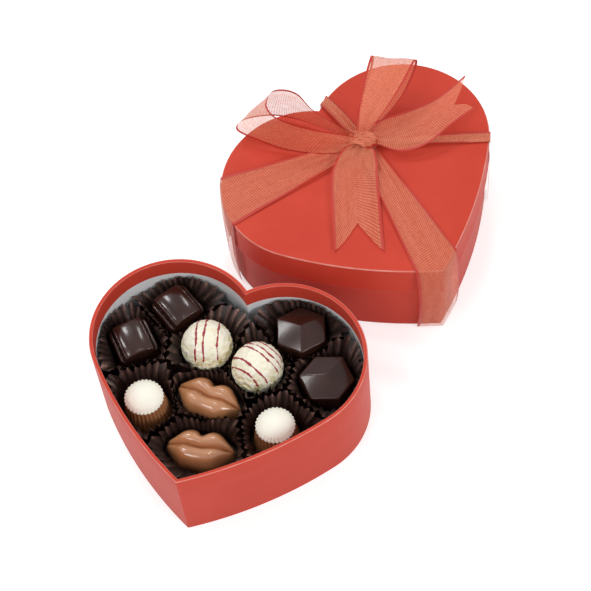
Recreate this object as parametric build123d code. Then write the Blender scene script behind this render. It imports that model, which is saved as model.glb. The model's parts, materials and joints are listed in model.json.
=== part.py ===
from build123d import *
import os
from math import atan2, cos, hypot, pi, radians, sin, sqrt, tan

# Driving dimensions, in millimetres and degrees

# Heart outline: two lobe arcs, each running on into a long side arc down to the tip
box_width = 150.0
lobe_offset = 29.75
lobe_turn = 39.2
side_radius = 229.0
lobe_crown = 50.0
lobe_radius = box_width / 2 - lobe_offset

# Base of the box: papered board walls on a board floor
base_height = 55.3
paper = 0.3
board = 1.6
floor_board = 1.8
turn_in = 11.5
rim = paper + board + paper
pad_top = 22.0

# Lid: a short cap over a deep sleeve that slides down over the base
lid_clearance = 0.5
sleeve_board = 1.2
cap_board = 1.2
cap_skirt = 20.5
lid_place = (33.0, 129.5)
lid_yaw = 48.0

# Paper cups: pleated walls spreading from a foot that fits the sweet until they meet wall or neighbour
cup_height = 20.0
cup_paper = 0.35
cup_room = 0.3
cup_spread = 27.0
cup_gap = 0.45
cup_pleats = 28
cup_pleat = 1.3
seat_gap = 0.25

# Chocolates
square_side = 24.0
square_corner = 3.5
square_height = 19.0
square_crown = 48.0
square_draft = 5.0
square_round = 2.5
ledge_width = 2.2
ledge_drop = 1.8
groove_width = 0.7
groove_depth = 1.2
truffle_radius = 14.0
truffle_flat = 0.8
drizzle_height = 0.5
drizzle_width = 1.0
facet_radius = 15.8
facet_height = 19.0
facet_slope = 15.0
facet_draft = 3.0
facet_round = 0.8
lips_length = 38.0
lips_height = 15.5
lips_corner_height = 7.5
lips_corner_half = 0.9
lips_lower = 10.6
lips_upper = 9.3
lips_bow = 0.3
lips_slit = 0.22
lips_fullness = 2.8
lips_bow_share = 0.3
praline_foot = 13.6
praline_neck = 10.2
praline_height = 19.5
praline_flutes = 30
flute_depth = 0.8
praline_cap_height = 5.5
praline_cap_step = 1.2

# Lines of icing across each truffle, as distances from its middle
drizzle_lines = {
    "truffle_1": (-5.0, -0.3, 7.3),
    "truffle_2": (-10.5, -6.0, 2.5, 6.0, 10.0),
}

# Ribbon and bow on the lid, in the lid's own axes
ribbon_width = 25.0
ribbon = 0.4
band = 0.6
knot_place = (8.0, 4.5)
knot_size = (13.0, 12.0, 9.0)
knot_round = 4.0
arm_start = 4.6
arm_low = 1.0
gather_width = 7.0
gather_length = 20.0
tail_length = 66.0
tail_cut = 11.0

# Turn of each arm from the knot, with its width at the knot and at the lid's edge
arms = {
    "tip": (-95, 9, 24),
    "notch": (94, 6, 7),
    "left": (173, 6, 30),
    "right": (-29, 4, 7),
}

# Turn of each tail, with its height over the lid at the knot, in its middle and at its end
tails = {
    "front": (235, 5.5, 3.6, 1.4),
    "right": (-14, 4.2, 8.0, 15.0),
}

# Loops of the bow: the upper one leans back over the lid, the left one stands on its edge
upper_turn = 34
upper_root = (7.4, 9.2)
upper_low = (33.0, 17.0)
upper_out = (44.0, 26.0)
upper_high = (34.0, 33.0)
left_turn = 138
left_reach = 48.0
left_half = 10.5
left_root = (3.0, 1.4)
left_lift = 4.0

# Where each chocolate sits, with the turn of its long side
layout = {
    "square_1": (-38.1, 24.3, 54),
    "square_2": (-54.5, -1.8, 41),
    "truffle_1": (-15.1, 6.1, 13),
    "truffle_2": (15.2, 0.2, 68),
    "facet_1": (31.4, 26.9, 19),
    "facet_2": (53.1, 2.5, 42),
    "lips_1": (-5.4, -21.6, -8),
    "lips_2": (-0.3, -51.2, 7),
    "praline_1": (-35.6, -35.6, 0),
    "praline_2": (36.0, -33.3, 0),
}

parts = {}


# The heart

def heart_marks(grow):
    """Radii and side-arc centre of the outline grown outwards by an even distance."""
    turn = radians(-lobe_turn)
    reach = lobe_radius - side_radius
    side_centre = (lobe_offset + reach * cos(turn), reach * sin(turn))
    return lobe_radius + grow, side_radius + grow, turn, side_centre


def heart_face(grow=0.0):
    """Heart outline as a face, with a sharp notch and a sharp tip."""
    lobe, side, turn, (side_x, side_y) = heart_marks(grow)
    notch = (0, sqrt(lobe**2 - lobe_offset**2))
    crown_turn = radians(lobe_crown)
    crown = (lobe_offset + lobe * cos(crown_turn), lobe * sin(crown_turn))
    join = (lobe_offset + lobe * cos(turn), lobe * sin(turn))
    tip = (0, side_y - sqrt(side**2 - side_x**2))
    middle = (turn + atan2(tip[1] - side_y, -side_x)) / 2
    flank = (side_x + side * cos(middle), side_y + side * sin(middle))
    right = [ThreePointArc(notch, crown, join), ThreePointArc(join, flank, tip)]
    left = [mirror(edge, about=Plane.YZ) for edge in right]
    return make_face(right + left)


def slab(grow, low, high):
    """Solid heart between two heights."""
    return Pos(0, 0, low) * extrude(heart_face(grow), high - low)


def ring(outside, inside, low, high):
    """Heart-shaped wall between two outlines and two heights."""
    return slab(outside, low, high) - slab(inside, low, high)


def inside_heart(x, y, grow):
    """Whether a plan point lies within the grown outline."""
    lobe, side, turn, (side_x, side_y) = heart_marks(grow)
    x = abs(x)
    in_lobe = hypot(x - lobe_offset, y) <= lobe
    below_join = (x - lobe_offset) * sin(turn) - y * cos(turn) >= 0
    in_side = hypot(x - side_x, y - side_y) <= side
    return in_lobe or (below_join and in_side)


# Base of the box

def make_base():
    wall_inside = -paper - board
    turn_in_low = base_height - turn_in
    parts["base_wall"] = ring(-paper, wall_inside, 0, base_height - paper)
    parts["base_floor"] = slab(wall_inside, 0, floor_board)
    outside = ring(0, -paper, 0, base_height)
    over_rim = ring(-paper, -rim, base_height - paper, base_height)
    inside = ring(wall_inside, -rim, turn_in_low, base_height - paper)
    parts["base_wrap"] = outside + over_rim + inside
    parts["base_liner"] = ring(wall_inside, -rim, floor_board, turn_in_low)
    parts["candy_pad"] = slab(-rim, floor_board, pad_top)


# Paper cups

def kind_of(name):
    return name.rsplit("_", 1)[0]


def polygon_reach(angle, sides, apothem):
    """Distance from the middle of a regular polygon to its outline at an angle."""
    step = 2 * pi / sides
    return apothem / cos((angle + step / 2) % step - step / 2)


def sweet_reach(name, angle):
    """How far a chocolate reaches from its middle at an angle, seen from above."""
    kind = kind_of(name)
    along = angle - radians(layout[name][2])
    if kind == "square":
        half = square_side / 2
        corner = half * sqrt(2) - square_corner * (sqrt(2) - 1)
        return min(polygon_reach(along, 4, half), corner)
    if kind == "facet":
        return polygon_reach(along, 6, facet_radius * cos(pi / 6)) + cup_room / 2
    if kind == "lips":
        length, breadth = lips_length / 2, max(lips_lower, lips_upper) + lips_corner_half
        return length * breadth / hypot(breadth * cos(along), length * sin(along))
    return truffle_radius if kind == "truffle" else praline_foot


def foot_reach(name, angle):
    """Outside of the cup's foot at an angle."""
    return sweet_reach(name, angle) + cup_room + cup_paper


def rim_reach(name, angle):
    """How far a cup's rim spreads at an angle before it meets the wall or the next cup."""
    x, y, turn = layout[name]
    reach = cup_spread
    while not inside_heart(x + reach * cos(angle), y + reach * sin(angle), -rim - cup_gap):
        reach -= 0.1
    for other, (other_x, other_y, other_turn) in layout.items():
        if other == name:
            continue
        apart = hypot(other_x - x, other_y - y)
        bearing = atan2(other_y - y, other_x - x)
        toward = cos(angle - bearing)
        if toward > 0.05:
            spare = apart - foot_reach(name, bearing) - foot_reach(other, bearing + pi)
            share = foot_reach(name, bearing) + spare / 2
            reach = min(reach, (share - cup_gap) / toward)
    return reach


def cup_outline(name, height_share, inset, level):
    """Zigzag outline of a cup's wall at a share of its height, as a face."""
    x, y, turn = layout[name]
    points = []
    for index in range(2 * cup_pleats):
        angle = pi * index / cup_pleats
        foot = foot_reach(name, angle)
        spread = (max(rim_reach(name, angle), foot) - foot) * height_share
        fold = min(cup_pleat, spread) if index % 2 else 0.0
        reach = foot + spread - fold - inset
        points.append((x + reach * cos(angle), y + reach * sin(angle)))
    return Pos(0, 0, level) * make_face(Polyline(points, close=True))


def make_cup(name):
    """Pleated paper cup standing on the pad."""
    top = pad_top + cup_height
    bottom = pad_top + cup_paper
    bottom_share = cup_paper / cup_height
    outside = loft([cup_outline(name, 0, 0, pad_top), cup_outline(name, 1, 0, top)], ruled=True)
    inside = loft(
        [cup_outline(name, bottom_share, cup_paper, bottom), cup_outline(name, 1, cup_paper, top)],
        ruled=True,
    )
    return outside - inside


# Chocolates, each standing on its own origin

def make_square():
    """Pillow-topped block with a low ledge and a groove along two of its edges."""
    foot = RectangleRounded(square_side, square_side, square_corner)
    block = extrude(foot, square_height, taper=square_draft)
    block = fillet(block.faces().sort_by(Axis.Z)[-1].edges(), square_round)
    block &= Pos(0, 0, square_height - square_crown) * Sphere(square_crown)
    edge = square_side / 2 - square_height * tan(radians(square_draft))
    for side in (-1, 1):
        ledge = Box(2 * ledge_width, 2 * square_side, 2 * ledge_drop)
        groove = Box(groove_width, 2 * square_side, 2 * groove_depth)
        block -= Pos(side * edge, 0, square_height) * ledge
        block -= Pos(side * (edge - ledge_width - 2 * groove_width), 0, square_height) * groove
    return block


def make_truffle():
    """Ball with a flat foot."""
    ball = Pos(0, 0, truffle_radius - truffle_flat) * Sphere(truffle_radius)
    return split(ball, bisect_by=Plane.XY, keep=Keep.TOP)


def make_drizzle(name):
    """Thin lines of icing over the top half of a ball."""
    shell = Sphere(truffle_radius + drizzle_height) - Sphere(truffle_radius)
    shell = split(shell, bisect_by=Plane.XY.offset(truffle_radius / 4), keep=Keep.TOP)
    slice_box = Box(drizzle_width, 4 * truffle_radius, 4 * truffle_radius)
    lines = [shell & Pos(offset, 0, 0) * slice_box for offset in drizzle_lines[name]]
    return Pos(0, 0, truffle_radius - truffle_flat) * Compound(lines)


def make_facet():
    """Low block whose three sloping faces meet in a raised point."""
    block = extrude(RegularPolygon(facet_radius, 6, rotation=30), facet_height, taper=facet_draft)
    lean = radians(facet_slope)
    for index in range(3):
        turn = radians(90 + 120 * index)
        normal = (sin(lean) * cos(turn), sin(lean) * sin(turn), cos(lean))
        roof = Plane(origin=(0, 0, facet_height), z_dir=normal)
        block = split(block, bisect_by=roof, keep=Keep.BOTTOM)
    return fillet(block.edges().filter_by(lambda edge: edge.center().Z > 1), facet_round)


def lips_section(share):
    """Upright section across the lips at a share of their half length, with the slit as a dip."""
    fade = 1 - abs(share) ** lips_fullness
    dip = lips_bow * max(0, 1 - abs(share) / lips_bow_share)
    lower = -lips_corner_half - lips_lower * fade
    upper = lips_corner_half + lips_upper * fade * (1 - dip)
    height = lips_corner_height + (lips_height - lips_corner_height) * fade
    slit = (1 - lips_slit * fade) * height
    outline = Spline((lower, 0), (0.93 * lower, 0.45 * height), (0.5 * lower, height),
                     (0, slit), (0.48 * upper, 0.95 * height), (0.93 * upper, 0.42 * height), (upper, 0))
    section = make_face([outline, Line((upper, 0), (lower, 0))])
    return Plane(origin=(share * lips_length / 2, 0, 0), x_dir=(0, 1, 0), z_dir=(1, 0, 0)) * section


def make_lips():
    """Full lips lofted from corner to corner, with a slit and a dip in the upper lip."""
    turns = range(-80, 81, 20)
    return loft([lips_section(sin(radians(turn))) for turn in turns])


def fluted(radius, depth):
    """Fluted round outline as a face."""
    points = []
    for index in range(2 * praline_flutes):
        angle = pi * index / praline_flutes
        reach = radius - (depth if index % 2 else 0)
        points.append((reach * cos(angle), reach * sin(angle)))
    return make_face(Polyline(points, close=True))


def make_praline():
    """Fluted cup of chocolate, narrow at the top."""
    foot = fluted(praline_foot, flute_depth)
    neck = Pos(0, 0, praline_height) * fluted(praline_neck, flute_depth)
    return loft([foot, neck], ruled=True)


def make_praline_cap():
    """Domed filling with a scalloped edge."""
    edge = extrude(fluted(praline_neck + flute_depth / 2, flute_depth), praline_cap_step)
    rise = praline_cap_height - praline_cap_step
    base = praline_neck - flute_depth
    radius = (base**2 + rise**2) / (2 * rise)
    ball = Pos(0, 0, praline_cap_height - radius) * Sphere(radius)
    dome = split(ball, bisect_by=Plane.XY.offset(praline_cap_step), keep=Keep.TOP)
    return Pos(0, 0, praline_height) * (edge + dome)


makers = {
    "square": make_square,
    "truffle": make_truffle,
    "facet": make_facet,
    "lips": make_lips,
    "praline": make_praline,
}


def make_candies():
    level = pad_top + cup_paper + seat_gap
    for index, (name, (x, y, turn)) in enumerate(layout.items(), 1):
        seat = Pos(x, y, level) * Rot(0, 0, turn)
        parts[f"paper_cup_{index}"] = make_cup(name)
        parts[name] = seat * makers[kind_of(name)]()
        if kind_of(name) == "truffle":
            parts[name.replace("truffle", "truffle_drizzle")] = seat * make_drizzle(name)
        if kind_of(name) == "praline":
            parts[name.replace("praline", "praline_cap")] = seat * make_praline_cap()


# Lid, standing on the floor behind the base

sleeve_inside = lid_clearance + paper
sleeve_outside = sleeve_inside + sleeve_board + paper
cap_outside = sleeve_outside + cap_board
wrap_outside = cap_outside + paper
cap_under = base_height + 1.0
cap_top = cap_under + cap_board
lid_top = cap_top + paper
cap_low = lid_top - cap_skirt


def make_lid():
    sleeve_board_outside = sleeve_outside - paper
    lid = {}
    lid["lid_sleeve"] = ring(sleeve_board_outside, sleeve_inside, 0, cap_under)
    lid["lid_sleeve_wrap"] = ring(sleeve_outside, sleeve_board_outside, 0, cap_under)
    skirt = ring(cap_outside, sleeve_outside, cap_low, cap_under)
    lid["lid_cap"] = skirt + slab(cap_outside, cap_under, cap_top)
    skin = ring(wrap_outside, cap_outside, cap_low, cap_top)
    lid["lid_cap_wrap"] = skin + slab(wrap_outside, cap_top, lid_top)
    lining = ring(sleeve_inside, lid_clearance, 0, cap_under - paper)
    lid["lid_lining"] = lining + slab(sleeve_inside, cap_under - paper, cap_under)
    return lid


def ribbon_arm(turn, start_width, end_width):
    """One arm of the ribbon: flat from the knot to the edge, then down the wall and in."""
    length = box_width
    spread = end_width - start_width / 2
    plan = make_face(Polyline(
        (arm_start, -start_width / 2), (arm_start, start_width / 2),
        (length, spread), (length, -spread), close=True))
    column = Pos(*knot_place, 0) * Rot(0, 0, turn) * extrude(plan, 2 * lid_top)
    over = slab(wrap_outside + ribbon, lid_top, lid_top + ribbon)
    down = ring(wrap_outside + ribbon, wrap_outside, arm_low, lid_top)
    tuck = ring(wrap_outside, sleeve_outside, arm_low, arm_low + ribbon)
    return (over + down + tuck) & column


def upright_plane(turn, height):
    """Upright plane that leaves the knot at a turn, from a height over the lid."""
    turn = radians(turn)
    return Plane(origin=(*knot_place, lid_top + height), x_dir=(cos(turn), sin(turn), 0),
                 z_dir=(sin(turn), -cos(turn), 0))


def band_along(path, turn):
    """Ribbon laid along a path drawn in the upright plane at a turn."""
    return extrude(upright_plane(turn, 0) * trace(path, line_width=band), ribbon_width / 2, both=True)


def gathered(turn, length, cut):
    """Plan of a ribbon that is gathered at the knot, with a swallow-tail cut at its end."""
    half, root = ribbon_width / 2, gather_width / 2
    plan = make_face(Polyline(
        (root, -root), (root, root), (gather_length, half), (length, half), (length - cut, 0),
        (length, -half), (gather_length, -half), close=True))
    return Pos(*knot_place, lid_top) * Rot(0, 0, turn) * extrude(plan, 3 * ribbon_width)


def make_tail(turn, start, middle, end):
    """Loose end of the ribbon, with a swallow-tail cut."""
    path = ThreePointArc((arm_start, start), (tail_length / 2, middle), (tail_length + band, end))
    return band_along(path, turn) & gathered(turn, tail_length, tail_cut)


def make_upper_loop():
    """Loop that rises from the knot, turns over and comes back."""
    path = Curve() + [
        Line((arm_start, upper_root[0]), upper_low),
        ThreePointArc(upper_low, upper_out, upper_high),
        Line(upper_high, (arm_start, upper_root[1])),
    ]
    return band_along(path, upper_turn) & gathered(upper_turn, box_width / 2, 0)


def make_left_loop():
    """Loop that stands on its edge and narrows into the knot."""
    root_x, root_y = left_root
    path = [
        Line((root_x, -root_y), (left_reach, -left_half)),
        ThreePointArc((left_reach, -left_half), (left_reach + left_half, 0), (left_reach, left_half)),
        Line((left_reach, left_half), (root_x, root_y)),
    ]
    low = ribbon + band
    plan = Pos(*knot_place, lid_top + low) * Rot(0, 0, left_turn) * trace(path, line_width=band)
    end = left_reach + 2 * left_half
    side = make_face(Polyline(
        (0, left_lift), (gather_length, 0), (end, 0), (end, ribbon_width), (1.5 * gather_length, ribbon_width),
        (0, knot_size[2]), close=True))
    profile = extrude(upright_plane(left_turn, low) * side, 2 * left_half, both=True)
    return extrude(plan, ribbon_width) & profile


def make_bow():
    knot = fillet(Box(*knot_size).edges(), knot_round)
    knot = Pos(*knot_place, lid_top + ribbon + knot_size[2] / 2) * knot
    bow = {"bow_knot": knot}
    for name, arm in arms.items():
        bow[f"ribbon_arm_{name}"] = ribbon_arm(*arm)
    for name, tail in tails.items():
        bow[f"ribbon_tail_{name}"] = make_tail(*tail) - knot
    bow["bow_loop_upper"] = make_upper_loop() - knot
    bow["bow_loop_left"] = make_left_loop() - knot
    return bow


make_base()
make_candies()
stand = Pos(*lid_place, 0) * Rot(0, 0, lid_yaw)
for name, piece in {**make_lid(), **make_bow()}.items():
    parts[name] = stand * piece

os.makedirs("parts", exist_ok=True)
for name, piece in parts.items():
    export_step(piece, f"parts/{name}.step")
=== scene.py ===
import json
import math
import random

import bpy
from mathutils import Euler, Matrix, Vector, noise

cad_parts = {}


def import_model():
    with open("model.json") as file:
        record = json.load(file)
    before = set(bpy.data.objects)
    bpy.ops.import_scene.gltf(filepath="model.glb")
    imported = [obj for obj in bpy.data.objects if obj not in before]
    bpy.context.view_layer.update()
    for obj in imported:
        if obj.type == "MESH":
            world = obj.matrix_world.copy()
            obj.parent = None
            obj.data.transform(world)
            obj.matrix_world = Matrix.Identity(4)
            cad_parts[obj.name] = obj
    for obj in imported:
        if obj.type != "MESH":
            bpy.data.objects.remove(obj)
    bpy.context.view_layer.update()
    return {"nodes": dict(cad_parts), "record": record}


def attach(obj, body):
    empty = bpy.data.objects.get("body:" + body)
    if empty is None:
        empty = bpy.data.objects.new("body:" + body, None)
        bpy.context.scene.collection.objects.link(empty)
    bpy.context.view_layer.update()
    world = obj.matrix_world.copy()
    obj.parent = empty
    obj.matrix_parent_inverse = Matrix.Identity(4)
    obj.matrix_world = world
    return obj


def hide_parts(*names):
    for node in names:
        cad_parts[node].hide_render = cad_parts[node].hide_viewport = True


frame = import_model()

MM = 0.001
MERGE_DISTANCE = 1e-6
REACH_STEP = 0.1

# Camera, in the photograph's square frame
CAMERA_PLACE = (0.2261, -0.4347, 0.9027)
CAMERA_TURN = (30.99, 3.59, 17.0)
CAMERA_LENS = 113.6
CAMERA_SENSOR = 36
CAMERA_NEAR = 0.01

# Lamps: name, place, target, size and power
LAMPS = (
    ("key", (-0.35, -0.85, 1.2), (0, 0.03, 0.03), (0.4, 0.3), 2.6),
    ("window", (-0.7, 0.7, 1.22), (0, 0.0, 0.03), (0.16, 0.26), 3.2),
    ("rear_window", (-0.16, 0.97, 1.25), (0, 0.0, 0.03), (0.12, 0.26), 2.0),
    ("left_window", (-0.9, 0.175, 1.2), (0, 0.0, 0.03), (0.1, 0.16), 1.7),
    ("near_window", (-0.67, -0.086, 1.35), (0, 0.0, 0.03), (0.1, 0.16), 1.2),
    ("high_window", (-0.085, 0.3, 1.5), (0, 0.0, 0.03), (0.1, 0.06), 0.7),
    ("front", (0.15, -1.2, 0.55), (0, 0.03, 0.03), (0.9, 0.5), 1.0),
    ("right", (1.1, -0.35, 0.8), (0.05, 0.08, 0.03), (0.5, 0.4), 5.3),
)

# Floor and surroundings, which look brighter than the light that they give
WHITE = (1, 1, 1, 1)
FLOOR_TONE = (0.82, 0.82, 0.82, 1)
FLOOR_SIZE = 6
FLOOR_LEVEL = -0.0002
FLOOR_GLOW = 0.5
AMBIENT_LIGHT = 0.48

# Tones of each finish, from low to high in its mottle
MOTTLE = (0.3, 0.7)
RED_TONES = ((0.575, 0.052, 0.029), (0.625, 0.062, 0.035))
# Paler red painted along the paper's rounded edges as a highlight
HIGHLIGHT_RED = (0.86, 0.40, 0.34, 1)
WHITE_TONES = ((0.80, 0.82, 0.84), (0.88, 0.89, 0.90))
BOARD_TONES = ((0.36, 0.32, 0.27), (0.50, 0.46, 0.40))
# Brown of the pad, darkened to near black as painted shade between the cups
PAD_SHADE_TONES = ((0.014, 0.007, 0.006), (0.028, 0.014, 0.011))
# Cup paper, from painted shade in the folds to a painted highlight on the pleats' ridges
CUP_TONES = ((0.018, 0.010, 0.008), (0.115, 0.066, 0.056), (0.42, 0.245, 0.205))
DARK_TONES = ((0.026, 0.0085, 0.006), (0.040, 0.0145, 0.0105))
MILK_TONES = ((0.43, 0.178, 0.073), (0.54, 0.243, 0.108))
# White chocolate, from its own tone to the yellower painted shade in creases
IVORY_TONES = ((0.95, 0.928, 0.805), (0.79, 0.69, 0.30))
ICING_TONES = ((0.27, 0.012, 0.03), (0.40, 0.03, 0.05))
THREAD_TONES = ((0.60, 0.095, 0.046), (0.80, 0.225, 0.118))
CORD_RED = (0.50, 0.024, 0.011, 1)

# Heart outline and box heights, in millimetres
LOBE_OFFSET = 29.75
LOBE_RADIUS = 45.25
LOBE_TURN = math.radians(39.2)
LOBE_SHARE = 0.6
SIDE_RADIUS = 229.0
SIDE_CENTRE = (
    LOBE_OFFSET + (LOBE_RADIUS - SIDE_RADIUS) * math.cos(LOBE_TURN),
    -(LOBE_RADIUS - SIDE_RADIUS) * math.sin(LOBE_TURN),
)
HEART_STEPS = 200
# How far below the lobes' centres lies the point from which the whole outline can be seen
HEART_MIDDLE = 5.0
CORNER_STEPS = 5
WRAP_CREASE = 35
RIM = 2.2
PAPER = 0.3
BASE_HEIGHT = 55.3
TURN_IN = 11.5
PAD_TOP = 22.0

# Lid, standing behind the base
LID_PLACE = (33.0, 129.5)
LID_YAW = math.radians(48)
LID_TOP = 57.8
CAP_LOW = LID_TOP - 20.5
CAP_OUTSIDE = 3.5
WRAP_OUTSIDE = 3.8

# Ribbon, in the lid's own axes
RIBBON_WIDTH = 25.0
KNOT_PLACE = (8.0, 4.5)
RIBBON_LIFT = 0.5
RIBBON_PLEATS = 3
PATH_STEPS = 60
ARM_START = 3.0
ARM_STEPS = 12
ARM_ROWS = 90
ARM_SPREAD = 75
ARM_SPREAD_MOST = 1.3
ARM_GATHER = (8, 55)
ARM_PLEAT = 1.2
ARM_EDGE = 3
ARM_EASE = (12, 30)
ARM_EASE_END = 16
ARM_EASE_LIFT = 0.45
ARM_EASE_WAVE = 90
ARM_FLOOR_GAP = 0.4
LAYER_GAP = 0.25
LOOSE_STEPS = 28
LOOSE_ROWS = 120
LOOSE_LOWEST = 0.9
LOOSE_GATHER = 22
LOOSE_PLEAT = 0.9
LOOSE_WAVE = 48
LOOSE_WAVE_LIFT = 0.5
TAIL_CUT = 11

# Knot
KNOT_HALF_WIDTH = 7.8
KNOT_HALF_HEIGHT = 4.4
KNOT_MIDDLE = 5.6
KNOT_LENGTH = 11
KNOT_TWIST = math.radians(-68)
KNOT_PLEATS = 3.5
KNOT_PLEAT = 0.9
KNOT_BULGE_POWER = 0.6
KNOT_LEAN = 1.4
KNOT_STEPS = 64
KNOT_ROWS = 56
KNOT_WEAVE = 12

# Paper cups
CUP_HEIGHT = 20.0
CUP_SPREAD = 27.0
CUP_GAP = 0.45
CUP_ROOM = 0.45
CUP_LIFT = 0.1
CUP_ROWS = 22
CUP_CREASE = 50
# Share of the rows that make the floor of a cup
CUP_FLOOR = 0.1
CUP_PLEATS = 32
STEPS_PER_PLEAT = 8
PLEAT_DEPTHS = (1.2, 3.2)
PLEAT_LIFTS = (-1.2, 0.9)
PLEAT_LIFT = 1.3
PLEAT_POWER = 0.8
# How much of the spread a fold may take, and a ripple
FOLD_SHARE = 0.8
FOLD_LEAST = 0.1
RIPPLE_SHARE = 0.3
RIPPLE_MOST = 0.9
# The frill's height as a share of the cup's, in the crowd and what the wall adds
FRILL_LOW = 0.68
FRILL_GAIN = 0.34
CROWDED_ROOM = 1.5
FREE_ROOM = 7.0
WALL_FEEL = 1
FLARE_START = 0.12
FLARE_POWER = 2.2
CRINKLE_SCALE = 2.4
CRINKLE_LIFT = 2.0
RUMPLE_SCALE = 7
RUMPLE_CLIMB = 2.5
RUMPLE_LIFT = 1.4
# Where the frills sag from the wall and the white liner shows, with how far round each place
SAGGING_PLACES = ((-65.0, 27.0, 16.0), (-8.0, 39.0, 17.0))

# Blocks: shares of the rows up to the end of the floor and of the wall, and of the roof's
# rows that round its edge, with the height at which the upper edge's reach is taken
BLOCK_STEPS = 240
BLOCK_ROWS = 100
BLOCK_FLOOR = 0.06
BLOCK_WALL = 0.34
BLOCK_ROUND = 0.22
BLOCK_EDGE_LEVEL = 19.0
MOULD_CREASE = 60

# Chocolates
SEAT = PAD_TOP + 0.6
SQUARE_SIDE = 24.0
SQUARE_CORNER = 3.5
SQUARE_BLEND = 7
SQUARE_HEIGHT = 19.0
SQUARE_DRAFT = 0.087
SQUARE_EDGE = 1.0
SQUARE_VAULT = 8.3
SQUARE_VAULT_FALL = 1.4
SQUARE_VAULT_POWER = 2.6
SQUARE_END_FALL = 1.1
SQUARE_END_POWER = 2.5
SQUARE_LEDGE = 4.2
# Depth of each groove beside the vault, its distance beyond the vault's edge and its width
SQUARE_GROOVES = ((0.7, 0.55, 0.3), (0.25, -1.1, 0.22))
TRUFFLE_RADIUS = 14.0
TRUFFLE_FLAT = 0.8
TRUFFLE_SEEDS = {"truffle_1": 3.0, "truffle_2": 9.0}
# Scales of the truffles' folds and knobs, and depths at the top, lower down and of the knobs
FOLD_SCALE = 3.1
FINE_FOLD_SCALE = 7.3
FOLD_CONTRAST = 2.2
KNOB_SCALE = 11.0
TOP_DEPTH = 0.25
LOW_DEPTH = 1.2
KNOB_DEPTH = 0.35
# Crease depth at which the painted shade is full
FULL_CREASE = 1.3
SKIN_SWELL = 0.25
FACET_RADIUS = 15.8
FACET_HEIGHT = 20.1
FACET_SLOPE = 0.31
FACET_BARREL = 0.6
FACET_SHARPNESS = 15.0
FACET_BLUNT = 0.35
FACET_DRAFT = 0.05
FACET_EDGE = 0.9
FACET_TURNS = (math.pi / 2, math.pi * 7 / 6, -math.pi / 6)
LIPS_LENGTH = 38.0
LIPS_HEIGHT = 15.5
LIPS_LOWER = 10.6
LIPS_UPPER = 10.0
LIPS_CORNER = 9.0
LIPS_CORNER_BREADTH = 1.3
LIPS_CORNER_POWER = 30
LIPS_DIP = 0.32
LIPS_DIP_WIDTH = 0.15
LIPS_SLIT = 1.1
LIPS_SLIT_WIDTH = 0.3
LIPS_FLANK = 0.54
LIPS_FLANK_POWER = 8
LIPS_STEPS = 96
LIPS_ROWS = 100
# Half axes of the cup's foot under the lips
LIPS_FOOT = (LIPS_LENGTH / 2 + 0.3, LIPS_LOWER + 1.4)
# Section across the lips, as shares of the lower or upper half breadth and of the height
LIPS_SECTION = [
    (-1.0, 0.0), (-1.0, 0.32), (-0.94, 0.64), (-0.74, 0.89), (-0.43, 1.0), (-0.14, 0.92),
    (0.0, 0.72), (0.1, 0.86), (0.34, 0.96), (0.64, 0.89), (0.91, 0.6), (0.99, 0.28), (1.0, 0.0),
]
LIPS_UNDERSIDE = [(1.0, 0.0), (-1.0, 0.0)]
# Shares of the rows for the section and for the underside
LIPS_SECTION_ROWS = 0.92
LIPS_UNDERSIDE_ROWS = 0.08
PRALINE_FOOT = 13.6
PRALINE_NECK = 10.2
PRALINE_HEIGHT = 19.5
PRALINE_FLUTES = 30
STEPS_PER_FLUTE = 8
FLANK_ROWS = 16
FLANK_LOW = 0.4
DOME_ROWS = 24
DOME_LOW = 1.4
SWIRL_WIDTH = 1.7
SWIRL_DEPTH = 0.04
CAP_RISE = 5.5

# Where each chocolate sits, with the turn of its long side
CHOCOLATES = {
    "square_1": (-38.1, 24.3, 54),
    "square_2": (-54.5, -1.8, 41),
    "truffle_1": (-15.1, 6.1, 13),
    "truffle_2": (15.2, 0.2, 68),
    "facet_1": (31.4, 26.9, 19),
    "facet_2": (53.1, 2.5, 42),
    "lips_1": (-5.4, -21.6, -8),
    "lips_2": (-0.3, -51.2, 7),
    "praline_1": (-35.6, -35.6, 0),
    "praline_2": (36.0, -33.3, 0),
}

# Lines of icing across each truffle, as distances from its middle
DRIZZLE_LINES = {
    "truffle_1": (-5.0, -0.3, 7.3),
    "truffle_2": (-10.5, -6.0, 2.5, 6.0, 10.0),
}
ICING_SWING = 74
ICING_STEPS = 8
ICING_ROWS = 90
ICING_FLATNESS = (0.7, 1.5)
ICING_WAVER = 0.05
ICING_SIZE = 0.34
ICING_COARSE = 0.34
ICING_FINE = 0.26
ICING_THINNEST = 0.05
ICING_ENDS = 12


# Modelling helpers

def start_clean():
    """Leaves edit mode and deselects everything."""
    if bpy.context.object and bpy.context.object.mode != "OBJECT":
        bpy.ops.object.mode_set(mode="OBJECT")
    bpy.ops.object.select_all(action="DESELECT")


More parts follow.
